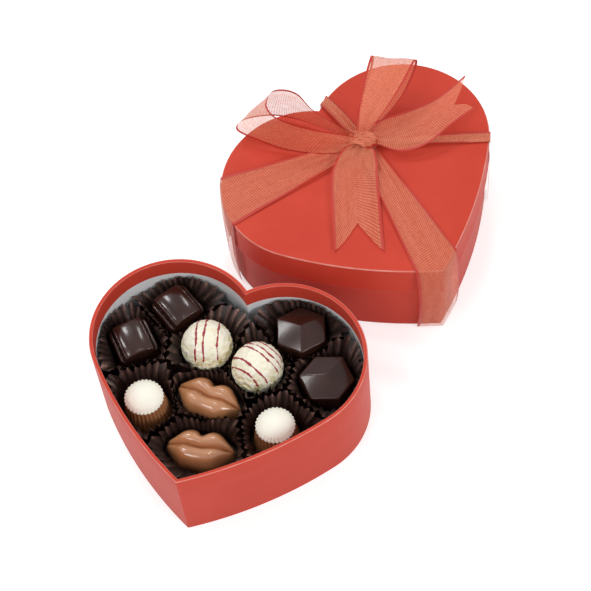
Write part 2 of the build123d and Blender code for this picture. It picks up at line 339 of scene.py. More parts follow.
def shaped_grid(name, across, along, place, closed=False, shade=None, crease=None):
    """A grid whose every point is put at place(u, v), in millimetres.

    shade is a name and the values by (step, row) that the points keep under it.
    crease is the angle, in degrees, from which edges stay crisp.
    """
    start_clean()
    bpy.ops.mesh.primitive_grid_add(x_subdivisions=across, y_subdivisions=along, size=2)
    piece = bpy.context.object
    piece.name = name
    piece.data.name = name
    if shade:
        title, values = shade
        shades = piece.data.attributes.new(title, "FLOAT", "POINT")
    for point in piece.data.vertices:
        u = (point.co.x + 1) / 2
        v = (point.co.y + 1) / 2
        point.co = Vector(place(u, v)) * MM
        if shade:
            shades.data[point.index].value = values[round(u * across) % across, round(v * along)]
    if closed:
        bpy.ops.object.mode_set(mode="EDIT")
        bpy.ops.mesh.select_all(action="SELECT")
        bpy.ops.mesh.remove_doubles(threshold=MERGE_DISTANCE)
        bpy.ops.mesh.normals_make_consistent(inside=False)
        bpy.ops.object.mode_set(mode="OBJECT")
    bpy.ops.object.shade_smooth()
    if crease:
        bpy.ops.object.shade_smooth_by_angle(angle=math.radians(crease))
    return piece


def finish_piece(piece, body, material, slot, *nodes):
    """Gives a piece its finish, its body and the solids that it stands for."""
    piece.data.materials.clear()
    piece.data.materials.append(material)
    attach(piece, body)
    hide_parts(*nodes)


def turned_by(angle, x, y):
    """A plan point turned about the origin."""
    return (x * math.cos(angle) - y * math.sin(angle), x * math.sin(angle) + y * math.cos(angle))


def on_table(x, y, z):
    """A point of the base's own axes, which are the box's frame."""
    return (x, y, z)


def on_lid(x, y, z):
    """A point of the lid's own axes, in the box's frame."""
    across, along = turned_by(LID_YAW, x, y)
    return (LID_PLACE[0] + across, LID_PLACE[1] + along, z)


def smooth_step(low, high, value):
    """Eased share of the way from low to high, held between 0 and 1."""
    share = min(max((value - low) / (high - low), 0.0), 1.0)
    return share * share * (3 - 2 * share)


def bell(offset, width):
    """1 at no offset, falling away smoothly over a width."""
    return math.exp(-((offset / width) ** 2))


def smooth_through(points, share):
    """Point at a share of an even Catmull-Rom line through points."""
    spans = len(points) - 1
    at = min(int(share * spans), spans - 1)
    t = share * spans - at
    before, first = points[max(at - 1, 0)], points[at]
    second, after = points[at + 1], points[min(at + 2, spans)]
    return [
        0.5 * (2 * b + (c - a) * t + (2 * a - 5 * b + 4 * c - d) * t**2
               + (3 * b - a - 3 * c + d) * t**3)
        for a, b, c, d in zip(before, first, second, after)
    ]


# The heart

def heart_point(share, grow):
    """Point of the grown outline: share 0 at the notch, 0.5 at the tip, round by the right lobe."""
    half = 2 * share if share <= 0.5 else 2 * (1 - share)
    sign = 1 if share <= 0.5 else -1
    lobe = LOBE_RADIUS + grow
    side = SIDE_RADIUS + grow
    if half <= LOBE_SHARE:
        start = math.pi - math.acos(LOBE_OFFSET / lobe)
        angle = start + (-LOBE_TURN - start) * half / LOBE_SHARE
        x = LOBE_OFFSET + lobe * math.cos(angle)
        y = lobe * math.sin(angle)
    else:
        tip_y = SIDE_CENTRE[1] - math.sqrt(side**2 - SIDE_CENTRE[0] ** 2)
        end = math.atan2(tip_y - SIDE_CENTRE[1], -SIDE_CENTRE[0])
        angle = -LOBE_TURN + (end + LOBE_TURN) * (half - LOBE_SHARE) / (1 - LOBE_SHARE)
        x = SIDE_CENTRE[0] + side * math.cos(angle)
        y = SIDE_CENTRE[1] + side * math.sin(angle)
    return sign * x, y


def inside_heart(x, y, grow):
    """Whether a plan point lies within the grown outline."""
    x = abs(x)
    in_lobe = math.hypot(x - LOBE_OFFSET, y) <= LOBE_RADIUS + grow
    below_join = -(x - LOBE_OFFSET) * math.sin(LOBE_TURN) - y * math.cos(LOBE_TURN) >= 0
    in_side = math.hypot(x - SIDE_CENTRE[0], y - SIDE_CENTRE[1]) <= SIDE_RADIUS + grow
    return in_lobe or (below_join and in_side)


def corner(grow, z, radius, start):
    """Quarter-round of a wall's profile about a centre, from a start angle, in degrees."""
    turns = [math.radians(start + 90 * k / CORNER_STEPS) for k in range(CORNER_STEPS + 1)]
    return [(grow + radius * math.cos(t), z + radius * math.sin(t)) for t in turns]


def whole(points):
    """Profile points at full scale."""
    return [(grow, z, 1.0) for grow, z in points]


def heart_shell(name, profile, place, painted_highlight):
    """A skin along the heart's outline, through a closed profile of (grow, height, scale).

    The last argument lists the rows of the profile that get a painted highlight.
    """
    loop = profile + profile[:1]
    rows = len(loop) - 1
    highlighted = {
        (step, row): float(row in painted_highlight) for step in range(HEART_STEPS) for row in range(rows + 1)
    }

    def skin(u, v):
        grow, z, scale = loop[round(v * rows)]
        x, y = heart_point(u, grow)
        return place(x * scale, (y + HEART_MIDDLE) * scale - HEART_MIDDLE, z)

    return shaped_grid(name, HEART_STEPS, rows, skin, True, ("painted_highlight", highlighted), WRAP_CREASE)


# Materials

def new_material(name):
    """A fresh material, its node tree and its main shader."""
    material = bpy.data.materials.new(name)
    material.use_nodes = True
    tree = material.node_tree
    return material, tree, tree.nodes["Principled BSDF"]


def plug(tree, made, inputs):
    """Sets inputs of a node, each to a number, a colour or another node's output."""
    for key, value in inputs.items():
        if isinstance(value, bpy.types.NodeSocket):
            tree.links.new(value, made.inputs[key])
        else:
            made.inputs[key].default_value = value


def node(tree, kind, inputs=None, **settings):
    """Adds a shader node."""
    made = tree.nodes.new(kind)
    for key, value in settings.items():
        setattr(made, key, value)
    plug(tree, made, inputs or {})
    return made


def reckon(tree, operation, *values):
    """Result of an operation on one or two values."""
    made = node(tree, "ShaderNodeMath", dict(enumerate(values)), operation=operation)
    return made.outputs[0]


def kept_shade(tree, name):
    """A shade that a piece's points keep under a name, or 0 where they keep none."""
    return node(tree, "ShaderNodeAttribute", attribute_name=name).outputs["Fac"]


def object_noise(tree, scale, detail, stretch=(1, 1, 1)):
    """Noise in the piece's own place, scale in features per metre."""
    coords = node(tree, "ShaderNodeTexCoord")
    return mapped_noise(tree, coords.outputs["Object"], scale, detail, stretch)


def mapped_noise(tree, coords, scale, detail, stretch):
    """Noise over stretched coordinates."""
    mapping = node(tree, "ShaderNodeMapping", {"Vector": coords, "Scale": stretch})
    made = node(tree, "ShaderNodeTexNoise",
                {"Vector": mapping.outputs["Vector"], "Scale": scale, "Detail": detail})
    return made.outputs["Fac"]


def ramp(tree, value, positions, tones):
    """Colour that passes through tones at positions of a value."""
    made = node(tree, "ShaderNodeValToRGB", {"Fac": value})
    elements = made.color_ramp.elements
    while len(elements) < len(tones):
        elements.new(0.5)
    for element, position, tone in zip(elements, positions, tones):
        element.position = position
        element.color = (*tone, 1)
    return made.outputs["Color"]


def mix(tree, share, first, second):
    """Colour between two others."""
    made = node(tree, "ShaderNodeMixRGB", {"Fac": share, "Color1": first, "Color2": second})
    return made.outputs["Color"]


def remap(tree, value, low, high, start=0.0, end=1.0):
    """A value between start and end, moved to between low and high."""
    made = node(tree, "ShaderNodeMapRange", {
        "Value": value, "From Min": start, "From Max": end, "To Min": low, "To Max": high,
    })
    return made.outputs["Result"]


def bump(tree, shader, height, strength, depth):
    """Roughens a shader's surface by a height, to a depth in metres."""
    made = node(tree, "ShaderNodeBump",
                {"Height": height, "Strength": strength, "Distance": depth})
    plug(tree, shader, {"Normal": made.outputs["Normal"]})


def seen_directly(tree):
    """1 for what the camera sees, straight, by reflection or through cloth, and 0 for light."""
    path = node(tree, "ShaderNodeLightPath")
    seen = reckon(tree, "MAXIMUM", path.outputs["Is Camera Ray"], path.outputs["Is Glossy Ray"])
    return reckon(tree, "MAXIMUM", seen, path.outputs["Is Transmission Ray"])


def red_paper():
    """Satin red paper, painted paler along its rounded edges as a highlight."""
    material, tree, shader = new_material("red_paper")
    broad = object_noise(tree, 45, 4)
    fibres = object_noise(tree, 1400, 2, (1, 1, 0.35))
    patches = remap(tree, object_noise(tree, 160, 3), 0.1, 1.1)
    # Painted highlight along the rounded edges, made uneven by patches
    painted_highlight = reckon(tree, "MULTIPLY", kept_shade(tree, "painted_highlight"), patches)
    red = ramp(tree, broad, MOTTLE, RED_TONES)
    plug(tree, shader, {
        "Base Color": mix(tree, painted_highlight, red, HIGHLIGHT_RED),
        "Roughness": remap(tree, fibres, 0.4, 0.54),
        "Specular IOR Level": 0.12,
        "Sheen Weight": 0.05,
        "Sheen Roughness": 0.4,
    })
    bump(tree, shader, fibres, 0.25, 0.00012)
    return material


def plain_paper(name, tones, rough, shine=0.5):
    """Plain paper or board with a faint mottle."""
    material, tree, shader = new_material(name)
    broad = object_noise(tree, 60, 4)
    fibres = object_noise(tree, 1200, 2)
    plug(tree, shader, {
        "Base Color": ramp(tree, broad, MOTTLE, tones),
        "Roughness": remap(tree, fibres, rough - 0.08, rough + 0.08),
        "Specular IOR Level": shine,
    })
    bump(tree, shader, fibres, 0.3, 0.00015)
    return material


def cup_paper():
    """Glossy brown paper, with a painted highlight along the ridges of its pleats and painted shade
    in its folds.
    """
    material, tree, shader = new_material("cup_paper")
    creases = object_noise(tree, 700, 3, (1, 1, 0.25))
    # Painted shade in the folds and low down, painted highlight on the pleats' ridges
    painted_highlight = reckon(tree, "MULTIPLY", kept_shade(tree, "ridge"), remap(tree, creases, 0.4, 1.5))
    plug(tree, shader, {
        "Base Color": ramp(tree, painted_highlight, (0.1, 0.5, 0.95), CUP_TONES),
        "Roughness": remap(tree, creases, 0.3, 0.46),
        "Specular IOR Level": 0.3,
    })
    bump(tree, shader, creases, 0.5, 0.0003)
    return material


def chocolate(name, tones, rough, shine, coat):
    """Tempered chocolate under a thin gloss."""
    material, tree, shader = new_material(name)
    broad = object_noise(tree, 90, 3)
    fine = object_noise(tree, 420, 3)
    plug(tree, shader, {
        "Base Color": ramp(tree, broad, MOTTLE, tones),
        "Roughness": remap(tree, fine, rough - 0.05, rough + 0.06),
        "Specular IOR Level": shine,
        "Coat Weight": coat,
        "Coat Roughness": 0.12,
    })
    bump(tree, shader, fine, 0.08, 0.0004)
    return material


def ivory_chocolate():
    """White chocolate with a yellower painted shade in its creases."""
    material, tree, shader = new_material("white_chocolate")
    broad = object_noise(tree, 130, 3)
    fine = object_noise(tree, 520, 4)
    # Painted shade, yellower where the truffles are creased, most of all lower down
    painted_crease_shade = reckon(tree, "MULTIPLY", kept_shade(tree, "crease"), remap(tree, broad, 0.3, 1.2))
    plug(tree, shader, {
        "Base Color": ramp(tree, painted_crease_shade, (0.05, 0.75), IVORY_TONES),
        "Roughness": remap(tree, fine, 0.42, 0.58),
        "Subsurface Weight": 0.12,
        "Subsurface Radius": (0.002, 0.0015, 0.0008),
    })
    bump(tree, shader, fine, 0.35, 0.0005)
    return material


def icing():
    """Dark red icing, uneven in tone."""
    material, tree, shader = new_material("red_icing")
    broad = object_noise(tree, 500, 3)
    plug(tree, shader, {
        "Base Color": ramp(tree, broad, MOTTLE, ICING_TONES),
        "Roughness": remap(tree, broad, 0.35, 0.5),
    })
    bump(tree, shader, broad, 0.3, 0.0004)
    return material


def organza(name, cover):
    """Sheer weave of uneven threads with streaks, slanted ribs and close corded edges."""
    material, tree, shader = new_material(name)
    cloth = node(tree, "ShaderNodeTexCoord").outputs["UV"]
    warp, weft, streaks = [
        mapped_noise(tree, cloth, 1.0, 2.0, stretch)
        for stretch in ((34, 2.0, 1), (2.0, 30, 1), (3.5, 0.25, 1))
    ]
    slant = node(tree, "ShaderNodeMapping",
                 {"Vector": cloth, "Rotation": (0, 0, math.radians(24))})
    ribs = node(tree, "ShaderNodeTexWave", {
        "Vector": slant.outputs["Vector"], "Scale": 2.6, "Distortion": 0.6,
        "Detail": 1.0, "Detail Scale": 2.0,
    }, bands_direction="Y").outputs["Fac"]
    weave = reckon(tree, "ADD", warp, weft)
    weave = reckon(tree, "ADD", weave, remap(tree, streaks, -0.3, 0.3))
    weave = reckon(tree, "ADD", weave, remap(tree, ribs, -0.28, 0.28))

    half = RIBBON_WIDTH / 20
    across = node(tree, "ShaderNodeSeparateXYZ", {"Vector": cloth}).outputs["X"]
    side = reckon(tree, "ABSOLUTE", reckon(tree, "SUBTRACT", across, half))
    edge = remap(tree, side, 0.0, 1.0, half - 0.15, half - 0.12)
    sheer = remap(tree, weave, cover - 0.17, cover + 0.17, 0.65, 1.35)
    thread = ramp(tree, remap(tree, weave, -0.1, 0.9), (0.2, 0.75), THREAD_TONES)
    plug(tree, shader, {
        "Alpha": reckon(tree, "MAXIMUM", sheer, edge),
        "Base Color": mix(tree, edge, thread, CORD_RED),
        "Roughness": remap(tree, warp, 0.4, 0.6),
        "Sheen Weight": 0.25,
        "Sheen Roughness": 0.35,
    })
    bump(tree, shader, weave, 0.3, 0.0002)
    return material


RED_PAPER = red_paper()
WHITE_PAPER = plain_paper("white_paper", WHITE_TONES, 0.5)
GREYBOARD = plain_paper("greyboard", BOARD_TONES, 0.75)
BROWN_PAD = plain_paper("brown_pad", PAD_SHADE_TONES, 0.85, 0.05)
CUP_PAPER = cup_paper()
DARK_CHOCOLATE = chocolate("dark_chocolate", DARK_TONES, rough=0.19, shine=0.12, coat=0.36)
MILK_CHOCOLATE = chocolate("milk_chocolate", MILK_TONES, rough=0.23, shine=0.36, coat=0.8)
WHITE_CHOCOLATE = ivory_chocolate()
RED_ICING = icing()
ORGANZA = organza("organza", 0.52)
KNOT_ORGANZA = organza("organza_gathered", 0.75)


def dress_solids():
    """Finishes of the solids that stay as they are."""
    finishes = {
        "greyboard": GREYBOARD, "red_paper": RED_PAPER, "white_paper": WHITE_PAPER,
        "brown_pad": BROWN_PAD, "cup_paper": CUP_PAPER, "dark_chocolate": DARK_CHOCOLATE,
        "milk_chocolate": MILK_CHOCOLATE, "white_chocolate": WHITE_CHOCOLATE,
        "red_icing": RED_ICING, "organza": ORGANZA,
    }
    for part in frame["record"]["subparts"]:
        solid = frame["nodes"][part["node"]]
        for held in solid.material_slots:
            held.material = finishes[part["material_slot"]]


# Paper skins of the box

def base_wrap():
    """Red paper over the outside, over the rim and down the inside to its cut edge."""
    rim_round = 0.9
    round_from = BASE_HEIGHT - rim_round
    inside = -RIM
    turn_in_low = BASE_HEIGHT - TURN_IN
    board_top = BASE_HEIGHT - 1
    # Rows on the rim's rounded corners that carry the painted highlight
    highlight_rows = (5, 6, 12)
    profile = [(0, height) for height in (0, 20, 40)]
    profile += corner(-rim_round, round_from, rim_round, 0)
    profile += corner(inside + rim_round, round_from, rim_round, 90)
    profile += [(inside, turn_in_low), (inside + PAPER, turn_in_low)]
    profile += [(inside + PAPER, board_top), (-PAPER, board_top), (-PAPER, 0)]
    piece = heart_shell("base_wrap_skin", whole(profile), on_table, highlight_rows)
    finish_piece(piece, "base", RED_PAPER, "red_paper", "base_wrap")


def cap_wrap():
    """Red paper over the lid's top and down its skirt to a thicker hem."""
    edge_round = 0.95
    top = WRAP_OUTSIDE - edge_round
    under = LID_TOP - PAPER
    hem = WRAP_OUTSIDE + 0.35
    # Rows on the rounded top edge that carry the painted highlight
    highlight_rows = (6, 7, 8)
    skirt = [
        (CAP_OUTSIDE, CAP_LOW), (WRAP_OUTSIDE + 0.2, CAP_LOW), (hem, CAP_LOW + 0.3),
        (hem, CAP_LOW + 0.9), (WRAP_OUTSIDE, CAP_LOW + 2.2),
    ]
    profile = whole(skirt + corner(top, LID_TOP - edge_round, edge_round, 0))
    profile += [(top, LID_TOP, scale) for scale in (0.8, 0.4, 0.0)]
    profile += [(top, under, 0.0), (top, under, 0.5), (CAP_OUTSIDE, under, 1.0)]
    piece = heart_shell("cap_wrap_skin", profile, on_lid, highlight_rows)
    finish_piece(piece, "lid", RED_PAPER, "red_paper", "lid_cap_wrap")


# Paper cups

def polygon_reach(angle, sides, apothem):
    """Distance from the middle of a regular polygon to its outline at an angle."""
    step = 2 * math.pi / sides
    return apothem / math.cos((angle + step / 2) % step - step / 2)


def sweet_reach(name, angle):
    """How far a chocolate reaches from its middle at an angle, seen from above."""
    along = angle - math.radians(CHOCOLATES[name][2])
    if name.startswith("square"):
        half = SQUARE_SIDE / 2
        round_corner = half * math.sqrt(2) - SQUARE_CORNER * (math.sqrt(2) - 1)
        return min(polygon_reach(along, 4, half), round_corner)
    if name.startswith("facet"):
        return polygon_reach(along, 6, FACET_RADIUS * math.cos(math.pi / 6))
    if name.startswith("lips"):
        length, breadth = LIPS_FOOT
        return length * breadth / math.hypot(breadth * math.cos(along), length * math.sin(along))
    return TRUFFLE_RADIUS if name.startswith("truffle") else PRALINE_FOOT


def meets_wall(name, angle, reach):
    """Whether a cup that reaches so far at an angle meets the wall."""
    x, y, _ = CHOCOLATES[name]
    rim_x, rim_y = x + reach * math.cos(angle), y + reach * math.sin(angle)
    return not inside_heart(rim_x, rim_y, -RIM - CUP_GAP)


def rim_reach(name, angle):
    """How far a cup's rim spreads at an angle before it meets the wall or the next cup."""
    least_toward = 0.05
    x, y, _ = CHOCOLATES[name]
    reach = CUP_SPREAD
    while meets_wall(name, angle, reach):
        reach -= REACH_STEP
    for other, (other_x, other_y, _) in CHOCOLATES.items():
        if other == name:
            continue
        apart = math.hypot(other_x - x, other_y - y)
        bearing = math.atan2(other_y - y, other_x - x)
        toward = math.cos(angle - bearing)
        if toward > least_toward:
            own = sweet_reach(name, bearing)
            spare = apart - own - sweet_reach(other, bearing + math.pi)
            reach = min(reach, (own + spare / 2 - CUP_GAP / 2) / toward)
    return reach


def paper_cup(index, name):
    """Pleated cup that hugs its chocolate and then opens into a crinkled frill."""
    draw = random.Random(100 + index)
    x, y, _ = CHOCOLATES[name]
    steps = CUP_PLEATS * STEPS_PER_PLEAT
    window = 2 * STEPS_PER_PLEAT
    depths = [draw.uniform(*PLEAT_DEPTHS) for _ in range(CUP_PLEATS)]
    lifts = [draw.uniform(*PLEAT_LIFTS) for _ in range(CUP_PLEATS)]
    sway = draw.uniform(0, 6)
    angles = [2 * math.pi * k / steps for k in range(steps)]
    feet = [sweet_reach(name, angle) + CUP_ROOM for angle in angles]
    rims = [max(rim_reach(name, angle), foot) for angle, foot in zip(angles, feet)]
    rooms = [rim - foot for rim, foot in zip(rims, feet)]
    walls = [meets_wall(name, angle, rim + WALL_FEEL) for angle, rim in zip(angles, rims)]
    ridges = {}

    def eased(values, step):
        """Mean of the values round a step."""
        near = range(step - window, step + window + 1)
        return sum(values[k % steps] for k in near) / (2 * window + 1)

    def standing(step):
        """How high the frill stands: 1 along the wall, less in the crowd and where it sags."""
        rim_x = x + rims[step] * math.cos(angles[step])
        rim_y = y + rims[step] * math.sin(angles[step])
        sag = max(
            math.exp(-(((rim_x - sag_x) ** 2 + (rim_y - sag_y) ** 2) / far**2))
            for sag_x, sag_y, far in SAGGING_PLACES
        )
        free = smooth_step(CROWDED_ROOM, FREE_ROOM, eased(rooms, step))
        return max(free, eased(walls, step)) * (1 - sag)

    heights = [CUP_HEIGHT * (FRILL_LOW + FRILL_GAIN * standing(step)) for step in range(steps)]

    def place(u, v):
        step = round(u * steps) % steps
        across, along = math.cos(angles[step]), math.sin(angles[step])
        pleat = step // STEPS_PER_PLEAT
        phase = (step % STEPS_PER_PLEAT) / STEPS_PER_PLEAT
        inward = (1 - abs(2 * phase - 1)) ** PLEAT_POWER
        floor = min(v / CUP_FLOOR, 1.0)
        rise = max(v - CUP_FLOOR, 0) / (1 - CUP_FLOOR)
        crinkle = noise.noise((CRINKLE_SCALE * across, CRINKLE_SCALE * along, sway))
        climb = sway + RUMPLE_CLIMB * rise
        rumple = noise.noise((RUMPLE_SCALE * across, RUMPLE_SCALE * along, climb))
        flare = FLARE_START * rise + (1 - FLARE_START) * rise**FLARE_POWER
        spread = rooms[step] * flare
        fold = min(depths[pleat], FOLD_SHARE * spread + FOLD_LEAST) * inward
        ripple = min(RIPPLE_MOST, RIPPLE_SHARE * spread) * rumple * rise
        reach = (feet[step] + max(spread - fold - abs(ripple), 0)) * floor
        pleat_lift = PLEAT_LIFT * lifts[pleat] * (0.3 + 0.7 * inward)
        lift = rise * (pleat_lift + CRINKLE_LIFT * crinkle + RUMPLE_LIFT * rumple)
        # Painted highlight on the ridges up the wall, painted shade in the folds and at the floor
        ridges[step, round(v * CUP_ROWS)] = rise * (1 - inward) * (0.7 + 0.6 * rumple)
        z = PAD_TOP + CUP_LIFT + rise * heights[step] + lift
        return x + reach * across, y + reach * along, z

    title = f"pleated_cup_{index}"
    piece = shaped_grid(title, steps, CUP_ROWS, place, True, ("ridge", ridges), CUP_CREASE)
    finish_piece(piece, "base", CUP_PAPER, "cup_paper", f"paper_cup_{index}")


# Chocolates

def seated(name, x, y, z):
    """A point of a chocolate's own axes, in the box's frame."""
    place_x, place_y, turn = CHOCOLATES[name]
    across, along = turned_by(math.radians(turn), x, y)
    return place_x + across, place_y + along, SEAT + z


def moulded(name, title, outline, roof, draft, edge_round):
    """Closed block with drafted walls and a rounded upper edge under a roof of given height."""
    def place(u, v):
        angle = 2 * math.pi * u
        across, along = math.cos(angle), math.sin(angle)
        foot = outline(angle)
        edge = foot - draft * BLOCK_EDGE_LEVEL
        top = roof(edge * across, edge * along) - edge_round
        if v < BLOCK_FLOOR:
            reach, z = foot * v / BLOCK_FLOOR, 0.0
        elif v < BLOCK_WALL:
            z = top * (v - BLOCK_FLOOR) / (BLOCK_WALL - BLOCK_FLOOR)
            reach = foot - draft * z
        else:
            share = (v - BLOCK_WALL) / (1 - BLOCK_WALL)
            turn = min(share / BLOCK_ROUND, 1.0) * math.pi / 2
            inner = max(share - BLOCK_ROUND, 0) / (1 - BLOCK_ROUND)
            side = foot - draft * top
            reach = (side - edge_round * (1 - math.cos(turn))) * (1 - inner)
            z = roof(reach * across, reach * along) - edge_round * (1 - math.sin(turn))
        return seated(name, reach * across, reach * along, z)

    return shaped_grid(title, BLOCK_STEPS, BLOCK_ROWS, place, closed=True, crease=MOULD_CREASE)


def square(name, body):
    """Dark block with a vaulted top between two low grooved ledges."""
    half = SQUARE_SIDE / 2

    def outline(angle):
        across, along = abs(math.cos(angle)), abs(math.sin(angle))
        return half * (across**SQUARE_BLEND + along**SQUARE_BLEND) ** (-1 / SQUARE_BLEND)

    def roof(x, y):
        out = abs(x)
        ends = SQUARE_END_FALL * (abs(y) / half) ** SQUARE_END_POWER
        fall = SQUARE_VAULT_FALL * (out / SQUARE_VAULT) ** SQUARE_VAULT_POWER
        top = SQUARE_HEIGHT - fall - ends
        ledge = SQUARE_HEIGHT - SQUARE_LEDGE - 0.5 * ends
        step = smooth_step(SQUARE_VAULT - 0.3, SQUARE_VAULT + 0.5, out)
        height = top + (ledge - top) * step
        for depth, beyond, width in SQUARE_GROOVES:
            height -= depth * bell(out - SQUARE_VAULT - beyond, width)
        return height

    piece = moulded(name, f"vaulted_{name}", outline, roof, SQUARE_DRAFT, SQUARE_EDGE)
    finish_piece(piece, body, DARK_CHOCOLATE, "dark_chocolate", name)


def facet(name, body):
    """Dark six-sided block whose three sloping, barrelled faces meet in softened ridges."""
    apothem = FACET_RADIUS * math.cos(math.pi / 6)

    def outline(angle):
        return min(polygon_reach(angle, 6, apothem), FACET_RADIUS - FACET_BLUNT)

    def roof(x, y):
        falls = []
        for turn in FACET_TURNS:
            down = x * math.cos(turn) + y * math.sin(turn)
            across = y * math.cos(turn) - x * math.sin(turn)
            falls.append(FACET_SLOPE * down + FACET_BARREL * (across / apothem) ** 2)
        fall = math.log(sum(math.exp(FACET_SHARPNESS * each) for each in falls)) / FACET_SHARPNESS
        ridge = math.log(len(FACET_TURNS)) / FACET_SHARPNESS
        return FACET_HEIGHT + ridge - fall

    piece = moulded(name, f"faceted_{name}", outline, roof, FACET_DRAFT, FACET_EDGE)
    finish_piece(piece, body, DARK_CHOCOLATE, "dark_chocolate", name)


def truffle_skin(name, heading):
    """Radius of a rolled truffle in a direction, and how deep it is creased there."""
    seed = Vector((0.0, 0.0, TRUFFLE_SEEDS[name]))
    folds = noise.noise(heading * FOLD_SCALE + seed)
    folds += 0.5 * noise.noise(heading * FINE_FOLD_SCALE + seed)
    ridges = 1 - min(abs(folds) * FOLD_CONTRAST, 1.0)
    knobs = 0.5 + 0.5 * noise.noise(heading * KNOB_SCALE + seed)
    low = 1 - smooth_step(-0.3, 0.75, heading.z)
    depth = (TOP_DEPTH + LOW_DEPTH * low) * (1 - ridges) + KNOB_DEPTH * knobs
    return TRUFFLE_RADIUS + SKIN_SWELL - depth, min(depth / FULL_CREASE, 1.0)


def truffle(name, body):
    """Ball rolled by hand, crinkled lower down, with a flat foot and lines of icing."""
    start_clean()
    bpy.ops.mesh.primitive_ico_sphere_add(subdivisions=6, radius=1)
    piece = bpy.context.object
    piece.name = f"rolled_{name}"
    creases = piece.data.attributes.new("crease", "FLOAT", "POINT")
    for point in piece.data.vertices:
        heading = point.co.normalized()
        reach, depth = truffle_skin(name, heading)
        x, y, z = heading * reach
        point.co = Vector(seated(name, x, y, max(z + TRUFFLE_RADIUS - TRUFFLE_FLAT, 0))) * MM
        # The crease depth also sets the painted shade of the white chocolate
        creases.data[point.index].value = depth
    bpy.ops.object.shade_smooth()
    finish_piece(piece, body, WHITE_CHOCOLATE, "white_chocolate", name)
    drizzle(name, body)


def icing_line(name, index, offset):
    """One thin uneven line of icing over the top of a truffle."""
    draw = random.Random(10 * index + len(name))
    start, drift = draw.uniform(0, 9), draw.uniform(-0.06, 0.06)
    lean = math.asin(offset / (TRUFFLE_RADIUS + 1))
    tall, broad = ICING_FLATNESS

    def place(u, v):
        turn = 2 * math.pi * u
        swing = math.radians(-ICING_SWING + 2 * ICING_SWING * v)
        forward, up = math.sin(swing), math.cos(swing)
        side = lean + drift * (v - 0.5) + ICING_WAVER * noise.noise((start, 5 * v, 0.3))
        middle = Vector((math.sin(side), math.cos(side) * forward, math.cos(side) * up))
        across = Vector((math.cos(side), -math.sin(side) * forward, -math.sin(side) * up))
        size = ICING_SIZE + ICING_COARSE * noise.noise((start, 11 * v, 1.7))
        size += ICING_FINE * noise.noise((start, 31 * v, 4.1))
        size = max(size, ICING_THINNEST) * min(1.0, ICING_ENDS * v, ICING_ENDS * (1 - v))
        reach, _ = truffle_skin(name, middle)
        point = middle * (reach + tall * size * math.sin(turn))
        point += across * (broad * size * math.cos(turn))
        return seated(name, point.x, point.y, point.z + TRUFFLE_RADIUS - TRUFFLE_FLAT)

    return shaped_grid(f"icing_line_{index}", ICING_STEPS, ICING_ROWS, place, closed=True)


def drizzle(name, body):
    """All the icing of one truffle."""
    lines = [icing_line(name, index, offset) for index, offset in enumerate(DRIZZLE_LINES[name])]
    start_clean()
    for line in lines:
        line.select_set(True)
    bpy.context.view_layer.objects.active = lines[0]
    bpy.ops.object.join()
    piece = bpy.context.object
    piece.name = f"icing_on_{name}"
    solid = name.replace("truffle", "truffle_drizzle")
    finish_piece(piece, body, RED_ICING, "red_icing", solid)


def lips(name, body):
    """Moulded lips with pointed corners, a slit and a dip in the middle of the upper lip."""
    def place(u, v):
        share = 2 * u - 1
        flank = (1 - abs(share)) / LIPS_FLANK
        fade = flank * (1 + flank**LIPS_FLANK_POWER) ** (-1 / LIPS_FLANK_POWER)
        corner_fade = 1 - abs(share) ** LIPS_CORNER_POWER
        dip = LIPS_DIP * bell(share, LIPS_DIP_WIDTH)
        lower = LIPS_CORNER_BREADTH * corner_fade + (LIPS_LOWER - 0.2) * fade
        upper = LIPS_CORNER_BREADTH * corner_fade + LIPS_UPPER * fade * (1 - dip)
        height = LIPS_CORNER * corner_fade + (LIPS_HEIGHT - LIPS_CORNER) * fade
        if v > LIPS_SECTION_ROWS:
            under = (v - LIPS_SECTION_ROWS) / LIPS_UNDERSIDE_ROWS
            across, up = smooth_through(LIPS_UNDERSIDE, under)
        else:
            across, up = smooth_through(LIPS_SECTION, v / LIPS_SECTION_ROWS)
        slit = LIPS_SLIT * bell(share, LIPS_SLIT_WIDTH) * fade
        y = across * (upper if across > 0 else lower) - slit * (1 - abs(across))
        return seated(name, share * LIPS_LENGTH / 2, y, up * height)

    title = f"moulded_{name}"
    piece = shaped_grid(title, LIPS_STEPS, LIPS_ROWS, place, closed=True, crease=MOULD_CREASE)
    finish_piece(piece, body, MILK_CHOCOLATE, "milk_chocolate", name)


def fluted(name, title, profile):
    """Round piece through a profile of (radius, height, flute depth), closed at both ends."""
    steps = PRALINE_FLUTES * STEPS_PER_FLUTE
    rows = len(profile) - 1

    def place(u, v):
        radius, z, depth = profile[round(v * rows)]
        angle = 2 * math.pi * u
        wave = abs(math.sin(PRALINE_FLUTES * angle / 2))
        reach = radius - depth * (1 - wave)
        return seated(name, reach * math.cos(angle), reach * math.sin(angle), z)

    return shaped_grid(title, steps, rows, place, closed=True, crease=MOULD_CREASE)


